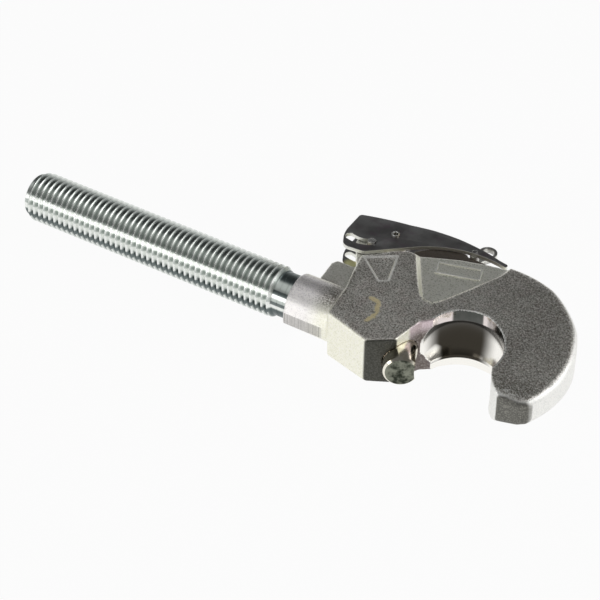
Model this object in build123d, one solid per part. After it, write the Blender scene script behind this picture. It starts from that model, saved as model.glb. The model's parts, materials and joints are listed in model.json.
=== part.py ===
from build123d import *
import math
import os

# Quick-hook end of a tractor top link: a forged hook with a ball seat on a threaded
# shank, closed by a sprung round bolt that a two-plate lever with a curved slot lifts.
# Millimetres. The origin is the centre of the ball seat. X runs along the thread from
# its free end to the hook, the lever lies towards +Y, the mouth opens towards -Y, and
# the part lies on its flat side, so Z is square to the hook's flat faces.

# Ball seat
ball_diameter = 64.0
seat_clearance = 0.1
ring_radius = 27.8

# Threaded shank, drawn at the major diameter of its thread
thread_diameter = 38.0
thread_length = 217.3
thread_chamfer = 2.6
undercut_depth = 2.7
undercut_length = 12.0

# Neck of the forging
neck_length = 37.0
neck_end_radius = 17.6
neck_root_radius = 19.4
neck_sink = 14.0
neck_flare = 10.0
neck_step = 0.5
flash_height = 6.0
flash_drop = 3.5
flash_stand = 1.1

# Locking bolt: its axis passes beside the seat and leans away from the shank
bolt_lean = 31.4
bolt_offset = 41.4
bolt_radius = 12.25
bolt_running_clearance = 0.05
bolt_past_seat = 8.3
bolt_shoulder = 41.7
bolt_chamfer = 1.4
bolt_scoop_clearance = 0.4
stem_radius = 8.0
stem_beyond_pin = 8.0
stem_end_chamfer = 1.2
bore_depth = 83.7
bolt_travel = 20.0
lever_swing = 55.5

# Return spring on the stem
spring_wire_radius = 1.1
spring_mean_radius = 10.0
spring_turns = 7
spring_end_gap = 0.1

# Forging outline, measured from the seat centre
hook_reach = 70.0
hook_back = 87.0
tip_depth = 26.4
lip_angle = 16.0
body_length = 94.0
body_shoulder = 21.3
front_face_height = 2.4
front_face_width = 23.9
mouth_lean = 16.3
exit_lean = 9.0
mouth_clearance = 0.4
tooth_drop = 7.4
crown_half_thickness = 25.0
rim_radius = 2.0
corner_radius = 4.0

# Slopes of the flat faces towards the front and towards the tip of the arm
front_half_thickness = 22.4
front_slope = 0.12
arm_half_thickness = 23.3
arm_slope_along = 0.18
arm_slope_across = 0.09

# Cheek block over the bolt, in the bolt's own directions
cheek_top = 93.5
cheek_corner_radius = 6.0
pocket_floor = 19.5
pocket_wall_side = 16.2
pocket_draft = 34.0
pocket_corner_radius = 5.0

# Central web that carries the lug pin
web_half_thickness = 7.0
web_reach = 128.0
web_top = 45.6
lug_width = 28.7
lug_beyond_pin = 10.5
lug_corner_radius = 7.0
stem_slot_clearance = 0.6
web_back_reach = 98.6

# Pins, places given in the bolt's own directions
pin_radius = 3.0
pin_bore_radius = 1.8
pin_slit = 1.2
pin_overhang = 1.2
pin_running_clearance = 0.05
bolt_pin_height = 129.9
lug_pin_side = 17.4
lug_pin_drop = 8.2

# Lever plates
plate_thickness = 3.0
plate_gap = 0.35
slot_clearance = 0.4
lever_tail = 84.5
lever_corner_radius = 7.0
lever_heel_radius = 3.0

# Pull eye and its rivet at the tail of the lever
eye_outer_radius = 6.8
eye_hole_radius = 4.7
eye_thickness = 4.0
eye_rise = 13.5
eye_lead = 4.0
hub_radius = 3.5
rivet_radius = 1.9
rivet_from_pin = 58.0
rivet_above_pin = 13.5

overrun = 30.0

# Outline shares. The hook's are of hook_reach and hook_back, its back's of hook_back
# alone, the tip's of hook_reach and tip_depth, the cheek's of cheek_top in the bolt's
# directions, the web's of web_reach and web_back_reach, the lever's of lever_tail, and the
# outer edge's round is of the arm's width.
block_rim_share = 0.75
outer_edge_share = 0.154
tip_inner_shares = [(0.45, -0.66), (0.586, -1.0)]
tip_end_shares = [(0.785, -0.95), (0.875, -0.80)]
hook_outer_shares = [(1.0, 0.16), (0.83, 0.665)]
hook_crown_shares = [(0.49, 0.893), (-0.05, 1.0)]
hook_back_shares = [(-0.137, 1.0), (-0.29, 0.972), (-0.515, 0.907)]
cheek_shares = [(0.157, 1.01), (-0.06, 0.998), (-0.173, 0.96), (-0.278, 0.955)]
cheek_root_shares = [(-0.335, 0.78), (-0.403, 0.58)]
pocket_shares = [(-0.66, 0.30), (-0.52, 0.275), (-0.19, 0.82), (-0.155, 0.93), (-0.165, 1.1)]
web_left_shares = [(-0.97, 0.1), (-1.0, 0.9), (-0.98, 1.0)]
web_back_shares = [(-0.85, 0.86), (-0.68, 0.955), (-0.56, 1.012), (-0.50, 0.998),
                   (-0.34, 0.998), (-0.25, 0.93), (-0.2, 0.8)]
lever_top_shares = [(-0.402, 0.088), (0.226, 0.207), (0.987, 0.152)]
lever_tip_share = (1.012, 0.128)
lever_under_shares = [(0.998, 0.108), (0.53, 0.104), (0.224, -0.054)]
lever_nose_shares = [(-0.118, -0.343), (-0.315, -0.360), (-0.396, -0.20)]

ball_radius = ball_diameter / 2
seat_radius = ball_radius + seat_clearance
outer_edge_radius = outer_edge_share * (hook_reach - ring_radius)
neck_start = -body_length - neck_length
undercut_start = neck_start - undercut_length
shank_end = undercut_start - thread_length
bore_radius = bolt_radius + bolt_running_clearance
stem_bore_radius = stem_radius + bolt_running_clearance
plate_inner = web_half_thickness + plate_gap
plate_outer = plate_inner + plate_thickness
pin_half_length = plate_outer + pin_overhang

# The bolt's own directions: side points from the bolt to the seat, along points up the
# bolt to the lever, and the frame's origin is the foot of the seat centre on its axis.
lean = math.radians(bolt_lean)
side = Vector(math.cos(lean), math.sin(lean), 0)
along = Vector(-math.sin(lean), math.cos(lean), 0)
foot = side * -bolt_offset
bolt_frame = Plane(origin=foot, x_dir=side, z_dir=(0, 0, 1))


def on_bolt(across, up):
    """World place of a point given across and up the bolt."""
    return foot + side * across + along * up


def bolt_section(up):
    """Plane square to the bolt's axis at a height on it."""
    return Plane(origin=on_bolt(0, up), x_dir=side, z_dir=along)


def scaled(shares, width, depth):
    """Outline points from shares of a width and a depth."""
    return [(width * across, depth * up) for across, up in shares]


def rounded_corners(face, radius, corners):
    """Face with a round at each of the named corners."""
    near = [min(face.vertices(), key=lambda v: (Vector(v) - Vector(*c)).length) for c in corners]
    return fillet(near, radius)


bolt_pin_place = on_bolt(0, bolt_pin_height)
lug_pin_place = on_bolt(-lug_pin_side, bolt_pin_height - lug_pin_drop)


def slab(face, half_thickness):
    """Solid of a face grown both ways from the mid-plane."""
    return extrude(face, half_thickness, both=True)


def core_outline():
    """Forging seen from above: body, cheek, hook and tip, with the mouth left open."""
    mouth = math.radians(mouth_lean)
    wall = Vector(-math.cos(mouth), math.sin(mouth), 0)
    outward = Vector(-math.sin(mouth), -math.cos(mouth), 0)
    wall_offset = ball_radius + mouth_clearance
    front_left = on_bolt(-front_face_width, front_face_height)
    front_start = on_bolt(0, front_face_height)
    front_right = front_start + side * ((wall_offset - wall.dot(front_start)) / wall.dot(side))
    tooth = wall * wall_offset + outward * tooth_drop
    seat_start = wall * ring_radius
    lip_turn = math.radians(lip_angle)
    lip = Vector(math.cos(lip_turn), -math.sin(lip_turn), 0) * ring_radius
    inner = scaled(tip_inner_shares, hook_reach, tip_depth)
    end = scaled(tip_end_shares, hook_reach, tip_depth)
    outer = scaled(hook_outer_shares, hook_reach, hook_back)
    crown = scaled(hook_crown_shares, hook_reach, hook_back)
    back = scaled(hook_back_shares, hook_back, hook_back)
    cheek = [on_bolt(cheek_top * across, cheek_top * up) for across, up in cheek_shares]
    root = [on_bolt(cheek_top * across, cheek_top * up) for across, up in cheek_root_shares]
    shoulder = (-body_length, -body_shoulder)
    line = Polyline(root[1], shoulder, front_left, front_right, tooth, seat_start, (0, 0), lip)
    line += ThreePointArc(lip, inner[0], inner[1])
    line += Polyline(inner[1], end[0], end[1])
    line += ThreePointArc(end[1], outer[0], outer[1])
    line += ThreePointArc(outer[1], crown[0], crown[1])
    line += Polyline(crown[1], *back, *cheek)
    line += ThreePointArc(cheek[-1], root[0], root[1])
    face = make_face(line)
    return rounded_corners(face, corner_radius, [front_left, cheek[3]])


def slope_cut(height, along_x, along_y):
    """Everything above a sloping flat face."""
    size = 4 * web_reach
    face = Plane(origin=(0, 0, height), z_dir=(-along_x, -along_y, 1))
    return face * Box(size, size, size, align=(Align.CENTER, Align.CENTER, Align.MIN))


def make_core():
    """Forged block with its flat faces sloping to the front and to the tip."""
    core = slab(core_outline(), crown_half_thickness)
    for cut in (slope_cut(front_half_thickness, 0, front_slope),
                slope_cut(arm_half_thickness, -arm_slope_along, arm_slope_across)):
        core -= cut
        core -= mirror(cut, Plane.XY)
    return round_rims(core)


def rims_of(core):
    """Edges where the walls of the block meet its flat faces."""
    walls = core.faces().filter_by(lambda face: abs(face.normal_at().Z) < 0.1)
    return walls.edges().filter_by(lambda edge: abs(edge.center().Z) > web_half_thickness)


def on_hook(edge):
    """Whether an edge lies on the outside of the hook."""
    place = Vector(edge.center().X, edge.center().Y, 0)
    return place.X > 0 and place.length > 3 * ring_radius / 2


def on_block(edge):
    """Whether an edge lies on the front, the left side or the cheek of the block."""
    place = edge.center()
    return place.X < -bolt_offset / 2 and place.Y < hook_back * block_rim_share


def round_rims(core):
    """Generous rounds on the hook's outer rims and small ones on the block's."""
    core = fillet(rims_of(core).filter_by(on_hook), outer_edge_radius)
    return fillet(rims_of(core).filter_by(on_block), rim_radius)


def make_neck():
    """Round neck flaring into the block, with its trimmed flash on the near side."""
    flare_start = -body_length - neck_flare
    flare_radius = body_shoulder - neck_step
    profile = Polyline((neck_start, 0), (neck_start, neck_end_radius), (flare_start, neck_root_radius))
    profile += ThreePointArc((flare_start, neck_root_radius),
                             (-body_length - neck_flare / 3, (2 * neck_root_radius + flare_radius) / 3),
                             (-body_length, flare_radius))
    profile += Polyline((-body_length, flare_radius), (neck_sink - body_length, neck_root_radius),
                        (neck_sink - body_length, 0), (neck_start, 0))
    neck = revolve(make_face(profile), Axis.X)
    band = Box(flare_start - neck_start, neck_root_radius + flash_stand, flash_height,
               align=(Align.MIN, Align.MAX, Align.CENTER))
    taper = Plane(origin=(neck_start, 0, 0), z_dir=(1, 0, 0)) * Cone(
        neck_end_radius + flash_stand, neck_root_radius + flash_stand, flare_start - neck_start,
        align=(Align.CENTER, Align.CENTER, Align.MIN))
    return neck + (Pos(neck_start, 0, -flash_drop) * band & taper)


def make_web():
    """Thin mid-plane web behind the block, with the lug for the pin of the slot."""
    left = scaled(web_left_shares, web_reach, web_top)
    shelf = on_bolt(-lug_width, cheek_top)
    shelf = (shelf.X, web_top)
    ear = slab(make_face(Polyline(*left, shelf, (0, 0), left[0])), web_half_thickness)
    lug_top = bolt_pin_height - lug_pin_drop + lug_beyond_pin
    lug = Polyline((-lug_width, bolt_shoulder), (-lug_width, lug_top), (0, lug_top),
                   (0, bolt_shoulder), (-lug_width, bolt_shoulder))
    lug = rounded_corners(make_face(lug), lug_corner_radius, [(-lug_width, lug_top, 0)])
    back = scaled(web_back_shares, web_back_reach, web_back_reach)
    rear = make_face(Polyline(on_bolt(0, bolt_shoulder), *back, on_bolt(0, bolt_shoulder)))
    web = ear + slab(bolt_frame * lug, web_half_thickness) + slab(rear, web_half_thickness)
    slot = 2 * (stem_radius + stem_slot_clearance)
    channel = Box(slot, bolt_pin_height, 4 * web_half_thickness,
                  align=(Align.CENTER, Align.MIN, Align.CENTER))
    return web - bolt_frame * Pos(0, cheek_top, 0) * channel


def pocket_cut():
    """Shallow pocket beside the cheek, with drafted walls, open to the back."""
    corner, elbow, bend, far, last = scaled(pocket_shares, hook_reach, hook_back)
    corner = on_bolt(pocket_wall_side, (Vector(*corner) - foot).dot(along))
    draft = (crown_half_thickness - pocket_floor) * math.tan(math.radians(pocket_draft))
    top = on_bolt(pocket_wall_side, cheek_top + draft)
    beside = on_bolt(0, cheek_top + draft)
    above = on_bolt(0, 2 * cheek_top)
    line = Polyline(bend, elbow, corner, top, beside, above, (last[0], above.Y), last)
    line += ThreePointArc(bend, far, last)
    face = rounded_corners(make_face(line), pocket_corner_radius, [corner, (*elbow, 0)])
    face = rounded_corners(face, cheek_corner_radius, [top])
    cut = Pos(0, 0, pocket_floor) * extrude(face, crown_half_thickness, taper=-pocket_draft)
    return cut + mirror(cut, Plane.XY)


def seat_cut():
    """Ball seat with its straight rings, and the ball's way out through the mouth."""
    mouth = math.radians(exit_lean)
    outward = Vector(-math.sin(mouth), -math.cos(mouth), 0)
    way = Plane(origin=(0, 0, 0), z_dir=outward)
    cut = Sphere(seat_radius)
    cut += Cylinder(ring_radius, 2 * (crown_half_thickness + overrun))
    cut += way * Cylinder(seat_radius, hook_back, align=(Align.CENTER, Align.CENTER, Align.MIN))
    return cut


def bolt_bore():
    """Bore for the bolt, with the smaller hole for its stem through the cheek."""
    start = -bolt_offset
    wide = bolt_section(start) * Cylinder(bore_radius, bore_depth - start,
                                          align=(Align.CENTER, Align.CENTER, Align.MIN))
    narrow = bolt_section(start) * Cylinder(stem_bore_radius, cheek_top + overrun - start,
                                            align=(Align.CENTER, Align.CENTER, Align.MIN))
    return wide + narrow


def pin_hole(place, radius):
    """Round hole through all the plates at a pin."""
    return Pos(*place) * Cylinder(radius, 4 * plate_outer)


def make_hook_body():
    """Forging: block, neck and web, less the seat, bore, pocket and pin hole."""
    body = make_core() - pocket_cut() + make_neck() + make_web()
    body -= seat_cut()
    body -= bolt_bore()
    body -= pin_hole(lug_pin_place, pin_radius)
    return body


def make_threaded_shank():
    """Round shank at the thread's major diameter, chamfered, with the undercut."""
    root = thread_diameter / 2 - undercut_depth
    profile = make_face(Polyline(
        (shank_end, 0),
        (shank_end, thread_diameter / 2 - thread_chamfer),
        (shank_end + thread_chamfer, thread_diameter / 2),
        (undercut_start - undercut_depth, thread_diameter / 2),
        (undercut_start, root),
        (neck_start, root),
        (neck_start, 0),
        (shank_end, 0)))
    return revolve(profile, Axis.X)


def make_locking_bolt():
    """Round bolt scooped for the ball, with a flatted stem that takes the lever pin."""
    low = -bolt_past_seat
    head = bolt_section(low) * Cylinder(bolt_radius, bolt_shoulder - low,
                                        align=(Align.CENTER, Align.CENTER, Align.MIN))
    head = chamfer(head.edges().filter_by(GeomType.CIRCLE), bolt_chamfer)
    groove = Vector(0, 0, 0) - along * (bolt_past_seat + overrun)
    head -= Plane(origin=groove, x_dir=side, z_dir=along) * Cylinder(
        ball_radius + bolt_scoop_clearance, bolt_past_seat + overrun,
        align=(Align.CENTER, Align.CENTER, Align.MIN))
    head -= Sphere(ball_radius + bolt_scoop_clearance)
    top = bolt_pin_height + stem_beyond_pin
    stem = bolt_section(bolt_shoulder) * Cylinder(stem_radius, top - bolt_shoulder,
                                                  align=(Align.CENTER, Align.CENTER, Align.MIN))
    stem = chamfer(stem.edges().filter_by(GeomType.CIRCLE).sort_by(Axis(foot, along))[-1],
                   stem_end_chamfer)
    flat = bolt_section(cheek_top + bolt_chamfer) * Pos(0, web_half_thickness, 0) * Box(
        4 * stem_radius, stem_radius, top, align=(Align.CENTER, Align.MIN, Align.MIN))
    stem -= flat
    stem -= mirror(flat, Plane.XY)
    return head + stem - pin_hole(bolt_pin_place, pin_radius)


def make_bolt_spring():
    """Return spring round the stem, between the bolt's shoulder and the cheek."""
    length = bore_depth - bolt_shoulder - 2 * (spring_wire_radius + spring_end_gap)
    path = Helix(length / spring_turns, length, spring_mean_radius)
    start = Plane(origin=path @ 0, z_dir=path % 0)
    coil = sweep(start * Circle(spring_wire_radius), path, is_frenet=True)
    return bolt_section(bolt_shoulder + spring_wire_radius + spring_end_gap) * coil


def slot_path():
    """Way of the lug pin in the lever, from closed to open, about the bolt pin."""
    steps = 4
    points = []
    for step in range(steps + 1):
        turn = math.radians(-lever_swing * step / steps)
        reach = lug_pin_place - bolt_pin_place - along * (bolt_travel * step / steps)
        points.append(Vector(reach.X * math.cos(turn) - reach.Y * math.sin(turn),
                             reach.X * math.sin(turn) + reach.Y * math.cos(turn), 0))
    return points


def lever_face():
    """Outline of a lever plate about the bolt pin, with its slot and pin hole."""
    top = scaled(lever_top_shares, lever_tail, lever_tail)
    under = scaled(lever_under_shares, lever_tail, lever_tail)
    nose = scaled(lever_nose_shares, lever_tail, lever_tail)
    line = ThreePointArc(*top)
    tip = scaled([lever_tip_share], lever_tail, lever_tail)[0]
    line += ThreePointArc(top[2], tip, under[0])
    line += ThreePointArc(*under)
    line += Polyline(under[2], nose[0], nose[1], nose[2], top[0])
    face = make_face(line)
    face = rounded_corners(face, lever_corner_radius,
                           [(*nose[0], 0), (*nose[1], 0)])
    face = rounded_corners(face, lever_heel_radius, [(*top[0], 0)])
    points = slot_path()
    width = pin_radius + slot_clearance
    path = Spline(*points)
    face -= trace(path, 2 * width)
    for end in (points[0], points[-1]):
        face -= Pos(*end) * Circle(width)
    face -= Circle(pin_radius + pin_running_clearance)
    face -= Pos(rivet_from_pin, rivet_above_pin) * Circle(rivet_radius)
    return face


def make_lever_plate(level):
    """Lever plate lying above a level."""
    place = Pos(bolt_pin_place.X, bolt_pin_place.Y, level)
    return place * extrude(lever_face(), plate_thickness)


def make_roll_pin(place):
    """Slit spring pin through both plates."""
    ring = Circle(pin_radius) - Circle(pin_bore_radius)
    ring -= Pos(pin_radius, 0) * Rectangle(2 * pin_radius, pin_slit)
    return Pos(*place) * slab(ring, pin_half_length)


def make_pull_eye():
    """Flat eye for the pull cord on a hub between the plates."""
    hub = Pos(rivet_from_pin, rivet_above_pin) * Cylinder(hub_radius, 2 * plate_inner)
    centre = (rivet_from_pin + eye_lead, rivet_above_pin + eye_rise)
    tab = make_hull((Pos(rivet_from_pin, rivet_above_pin) * Circle(hub_radius)).edges()
                    + (Pos(*centre) * Circle(eye_outer_radius)).edges())
    eye = hub + slab(tab, eye_thickness / 2)
    eye -= Pos(*centre) * Cylinder(eye_hole_radius, 2 * plate_inner)
    eye -= Pos(rivet_from_pin, rivet_above_pin) * Cylinder(rivet_radius, 4 * plate_inner)
    return Pos(*bolt_pin_place) * eye


def make_eye_rivet():
    """Rivet flush with the outsides of both plates."""
    return Pos(*bolt_pin_place) * Pos(rivet_from_pin, rivet_above_pin) * Cylinder(
        rivet_radius, 2 * plate_outer)


nodes = {
    "hook_body": make_hook_body,
    "threaded_shank": make_threaded_shank,
    "locking_bolt": make_locking_bolt,
    "bolt_spring": make_bolt_spring,
    "lever_plate_near": lambda: make_lever_plate(plate_inner),
    "lever_plate_far": lambda: make_lever_plate(-plate_outer),
    "lug_pin": lambda: make_roll_pin(lug_pin_place),
    "bolt_pin": lambda: make_roll_pin(bolt_pin_place),
    "pull_eye": make_pull_eye,
    "eye_rivet": make_eye_rivet,
}

os.makedirs("parts", exist_ok=True)
for name, make in nodes.items():
    export_step(make(), f"parts/{name}.step")
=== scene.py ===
import json
import math

import bpy
from mathutils import Matrix, Vector


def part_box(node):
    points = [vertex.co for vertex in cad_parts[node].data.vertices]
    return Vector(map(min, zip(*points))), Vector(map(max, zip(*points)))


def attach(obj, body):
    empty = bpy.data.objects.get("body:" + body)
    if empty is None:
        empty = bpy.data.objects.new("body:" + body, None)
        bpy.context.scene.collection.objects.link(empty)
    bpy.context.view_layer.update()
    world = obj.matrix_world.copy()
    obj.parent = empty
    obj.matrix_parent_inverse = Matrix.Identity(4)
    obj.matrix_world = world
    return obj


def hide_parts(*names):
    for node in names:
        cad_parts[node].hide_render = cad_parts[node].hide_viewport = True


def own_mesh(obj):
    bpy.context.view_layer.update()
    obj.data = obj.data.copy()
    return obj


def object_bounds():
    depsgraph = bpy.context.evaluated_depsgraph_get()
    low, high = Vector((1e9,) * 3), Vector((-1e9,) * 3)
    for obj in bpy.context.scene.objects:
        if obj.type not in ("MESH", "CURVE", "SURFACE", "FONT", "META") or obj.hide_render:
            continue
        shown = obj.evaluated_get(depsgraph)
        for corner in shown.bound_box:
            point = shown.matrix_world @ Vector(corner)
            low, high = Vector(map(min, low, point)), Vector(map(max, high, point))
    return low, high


bl_info = {
    "name": "Quick hook of a top link",
    "version": (1, 0, 0),
    "blender": (4, 5, 0),
    "location": "View3D > Sidebar > Quick hook",
    "description": "Dresses the forged hook, its thread, locking bolt and lever",
    "category": "Object",
}

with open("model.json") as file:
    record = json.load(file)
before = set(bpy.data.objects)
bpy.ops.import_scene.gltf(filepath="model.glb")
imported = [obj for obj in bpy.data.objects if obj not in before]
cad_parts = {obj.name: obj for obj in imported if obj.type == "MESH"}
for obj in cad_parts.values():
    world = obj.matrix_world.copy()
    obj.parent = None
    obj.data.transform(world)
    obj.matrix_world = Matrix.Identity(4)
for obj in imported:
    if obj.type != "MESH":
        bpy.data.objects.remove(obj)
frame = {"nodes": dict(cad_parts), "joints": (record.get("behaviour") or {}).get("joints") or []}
cad_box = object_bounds()

MM = 0.001
UP = Vector((0, 0, 1))
EAST = Vector((1, 0, 0))
NORTH = Vector((0, 1, 0))
MAX_TRIANGLES = 200000

# Sizes of the machined surfaces, as in the CAD
SEAT_RADIUS = 32.1 * MM
SEAT_SIDES = 160
RING_RADIUS = 27.8 * MM
EXIT_LEAN = math.radians(9.0)
BORE_RADIUS = 12.3 * MM
BORE_DEPTH = 83.7 * MM
STEM_HOLE_RADIUS = 8.25 * MM
STEM_HOLE_END = 110.0 * MM
BOLT_SHOULDER = 41.7 * MM
CROWN_LEVEL = 25.0 * MM
POCKET_FLOOR = 19.5 * MM
UNDERCUT_DEPTH = 2.7 * MM
UNDERCUT_LENGTH = 12.0 * MM
SPRING_END_GAP = 0.1 * MM
SPRING_TURNS = 7

# The shank's short plain end, and the half widths of crest and root as shares of the pitch
PILOT_DEPTH = 2.9 * MM
PILOT_LENGTH = 2.8 * MM
PILOT_CHAMFER = 0.6 * MM
CREST_HALF = 0.06
ROOT_HALF = 0.04

# Neck, wider at the block than at the thread, with the seam that trimming left along it
NECK_START = -131.0 * MM
NECK_END = -98.0 * MM
NECK_RADII = (19.5 * MM, 20.0 * MM)
SEAM_REACH = 20.6 * MM
SEAM_LOW = -7.8 * MM
SEAM_HIGH = 2.2 * MM

# Bare plate on the pocket's floor, half the web's thickness, and the forged skin's hollows
PLATE_CENTRE = (-39.0 * MM, 66.3 * MM)
PLATE_TURN = math.radians(16.1)
PLATE_LENGTH = 32.4 * MM
PLATE_WIDTH = 12.6 * MM
WEB_HALF = 7.0 * MM
HOLLOW_SIZE = 5.0 * MM

# Shapes in plan, in millimetres. The rim is the pocket's edge on the arm's side.
PLATE_CORNERS = [
    (Vector(PLATE_CENTRE) + Matrix.Rotation(PLATE_TURN, 2) @ Vector(
        (across * PLATE_LENGTH / 2, up * PLATE_WIDTH / 2))) / MM
    for across, up in ((-1, -1), (1, -1), (1, 1), (-1, 1))]
RECESS_CORNERS = [(-100.2, 39.1), (-78.5, 21.6), (-72.6, 25.4), (-81, 52.8)]
STAIN_POINTS = [(-73.8, 4.5), (-69.3, 4.2), (-66.1, -0.3), (-63.9, -6.2), (-64.9, -11.2),
                (-66.5, -15.3)]
RIM_POINTS = [(-46, 27), (-41.5, 21.5), (-36, 20.8), (-32.5, 25.5), (-20.8, 49.5),
              (-11.5, 72), (-10, 81)]
WEB_REAR = [(-83.8, 84.8), (-76.3, 93), (-67.2, 99), (-58.2, 101.8), (-53, 101.4),
            (-49.2, 100.9), (-48.9, 99.1), (-36, 99.1), (-32, 98.4), (-24, 88),
            (-40, 74), (-83.8, 74)]

# Rear corner of the lever plates, and the crescent that fills out their outer edge: its
# outer line, then back inside
LEVER_CORNER = (-136.5, 72.4)
CORNER_SLACK = 0.6
LEVER_CRESCENT = [(-100.5, 104.9), (-95, 106.2), (-90.4, 107.1), (-86, 108), (-81.3, 108.7),
                  (-76.6, 109.1), (-71.8, 109.4), (-67, 109.6), (-62, 109.6), (-56.9, 109.3),
                  (-51.8, 108.8), (-46.5, 108.1), (-40, 107.1), (-33, 105.6), (-25, 103.2),
                  (-25.4, 102.2), (-45.6, 105.4), (-60, 106.2), (-80, 105.9), (-100, 104)]

# Faces that the trimming tool left, in millimetres: the arm's end along its own direction,
# and the block's front along the bolt
TIP_END = (0.33, -0.94, 0)
TIP_END_PLACE = 41.0
BLOCK_FRONT_PLACE = 2.4

# Corner of the far plate where yellow plating is left, in millimetres
GLOW_CENTRE = (-124.5, 62.5, -7.3)

# The floor, and the soft boxes: turn and height in degrees, then distance, width and depth
# in metres, and power in watts
FLOOR_SIZE = 8.0
FLOOR_GLOW = 0.95
LAMPS = [("front_box", -24, 14, 1.3, 1, 0.36, 2.6),
         ("right_box", 118, 30, 1.4, 0.8, 0.8, 6),
         ("top_box", -66, 66, 1.5, 1.2, 1.2, 3.4)]

# The bolt's own directions, from the record: along points up the bolt to the lever.
slide = next(joint for joint in frame["joints"] if joint["name"] == "bolt_slide")
along = Vector(slide["axis"]).normalized()
side = Vector((along.y, -along.x, 0))
way_out = Vector((-math.sin(EXIT_LEAN), -math.cos(EXIT_LEAN), 0))

shank_low, shank_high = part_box("threaded_shank")
spring_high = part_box("bolt_spring")[1]
pin_low, pin_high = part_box("bolt_pin")
foot = side * ((pin_low + pin_high) / 2).dot(side)


def on_bolt(up):
    """Place on the bolt's axis, measured from the foot of the seat's centre."""
    return foot + along * up


def direction(turn, tilt):
    """Direction from the seat's centre, turned from the front and raised."""
    return Vector((math.sin(turn) * math.cos(tilt), -math.cos(turn) * math.cos(tilt),
                   math.sin(tilt)))


def assign(target, settings):
    for name, value in settings.items():
        setattr(target, name, value)


def arithmetic(operation, swapped=False):
    """Method of Number that makes one node from it and another value."""
    def method(self, other):
        return self.paint.maths(operation, *((other, self) if swapped else (self, other)))
    return method


class Number:
    """One number in a material's nodes, on which sums can be written as Python."""
    __add__ = arithmetic("ADD")
    __radd__ = arithmetic("ADD", True)
    __sub__ = arithmetic("SUBTRACT")
    __rsub__ = arithmetic("SUBTRACT", True)
    __mul__ = arithmetic("MULTIPLY")
    __rmul__ = arithmetic("MULTIPLY", True)
    __truediv__ = arithmetic("DIVIDE")
    smaller = arithmetic("MINIMUM")
    larger = arithmetic("MAXIMUM")

    def __init__(self, paint, socket):
        self.paint = paint
        self.socket = socket

    def __abs__(self):
        return self.paint.maths("ABSOLUTE", self)

    def rising(self, low, high):
        """0 below low, 1 above high and smooth in between."""
        return self.paint.number(
            "ShaderNodeMapRange", {"interpolation_type": "SMOOTHSTEP"},
            {"Value": self, "From Min": low, "From Max": high})

    def falling(self, low, high):
        """1 below low, 0 above high and smooth in between."""
        return 1 - self.rising(low, high)


class Paint:
    """A material or a world that is painted with nodes, with all lengths in millimetres."""

    def __init__(self, owner):
        owner.use_nodes = True
        self.owner = owner
        self.base = None
        self.tree = owner.node_tree
        self.tree.nodes.clear()

    def node(self, kind, settings=None, inputs=None):
        """A node of a type, with its settings made first and its sockets fed after."""
        node = self.tree.nodes.new(kind)
        assign(node, settings or {})
        for name, value in (inputs or {}).items():
            if isinstance(value, Number):
                value = value.socket
            if isinstance(value, bpy.types.NodeSocket):
                self.tree.links.new(value, node.inputs[name])
            else:
                node.inputs[name].default_value = value
        return node

    def number(self, kind, settings, inputs):
        """What a new node gives out, as a Number."""
        return Number(self, self.node(kind, settings, inputs).outputs[0])

    def maths(self, operation, *values):
        return self.number("ShaderNodeMath", {"operation": operation}, dict(enumerate(values)))

    def vector_maths(self, operation, first, second=None, output="Vector", **others):
        inputs = {0: first, **others}
        if second is not None:
            inputs[1] = second
        return self.node("ShaderNodeVectorMath", {"operation": operation}, inputs).outputs[output]

    def place(self):
        """Object coordinates."""
        place = self.node("ShaderNodeTexCoord").outputs["Object"]
        return self.vector_maths("SCALE", place, Scale=1 / MM)

    def in_plan(self, place):
        """A place with its height left out."""
        return self.vector_maths("MULTIPLY", place, (1.0, 1.0, 0.0))

    def facing(self):
        return self.node("ShaderNodeTexCoord").outputs["Normal"]

    def distance(self, first, second):
        return Number(self, self.vector_maths("DISTANCE", first, second, "Value"))

    def dot(self, first, second):
        return Number(self, self.vector_maths("DOT_PRODUCT", first, second, "Value"))

    def reach(self, vector):
        """How long a vector is."""
        return Number(self, self.vector_maths("LENGTH", vector, output="Value"))

    def noise(self, place, size, detail=2.0, roughness=0.5):
        """Noise from 0 to 1 whose features have about that size."""
        return self.number("ShaderNodeTexNoise", {}, {
            "Vector": place, "Scale": 1 / size, "Detail": detail, "Roughness": roughness})

    def rings(self, distance, size):
        """Noise that varies only with a distance, like the marks of a turning tool."""
        return self.number("ShaderNodeTexNoise", {"noise_dimensions": "1D"}, {
            "W": distance, "Scale": 1 / size, "Detail": 2.0, "Roughness": 0.6})

    def mix(self, amount, first, second):
        """Colour that goes from the first to the second with amount."""
        first, second = (part if isinstance(part, bpy.types.NodeSocket) else (*part, 1.0)
                         for part in (first, second))
        node = self.node("ShaderNodeMix", {"data_type": "RGBA"}, {0: amount, 6: first, 7: second})
        return node.outputs[2]

    def start(self, amount, first, second):
        """Begins the base colour as a mix of two."""
        self.base = self.mix(amount, first, second)

    def lay(self, amount, colour):
        """Lays a colour over the base as it is so far."""
        self.base = self.mix(amount, self.base, colour)

    def metal(self, roughness, height, strength, depth):
        """Finishes a metal, bumped by a height from 0 to 1 that stands for a depth."""
        bump = self.node("ShaderNodeBump", {}, {
            "Height": height, "Strength": strength, "Distance": depth * MM})
        shader = self.node("ShaderNodeBsdfPrincipled", {}, {
            "Base Color": self.base, "Roughness": roughness, "Metallic": 1.0,
            "Normal": bump.outputs[0]})
        return self.finish(shader.outputs[0])

    def finish(self, shader, kind="ShaderNodeOutputMaterial"):
        self.node(kind, {}, {"Surface": shader})
        return self.owner


def new_paint(name):
    return Paint(bpy.data.materials.new(name))


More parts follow.
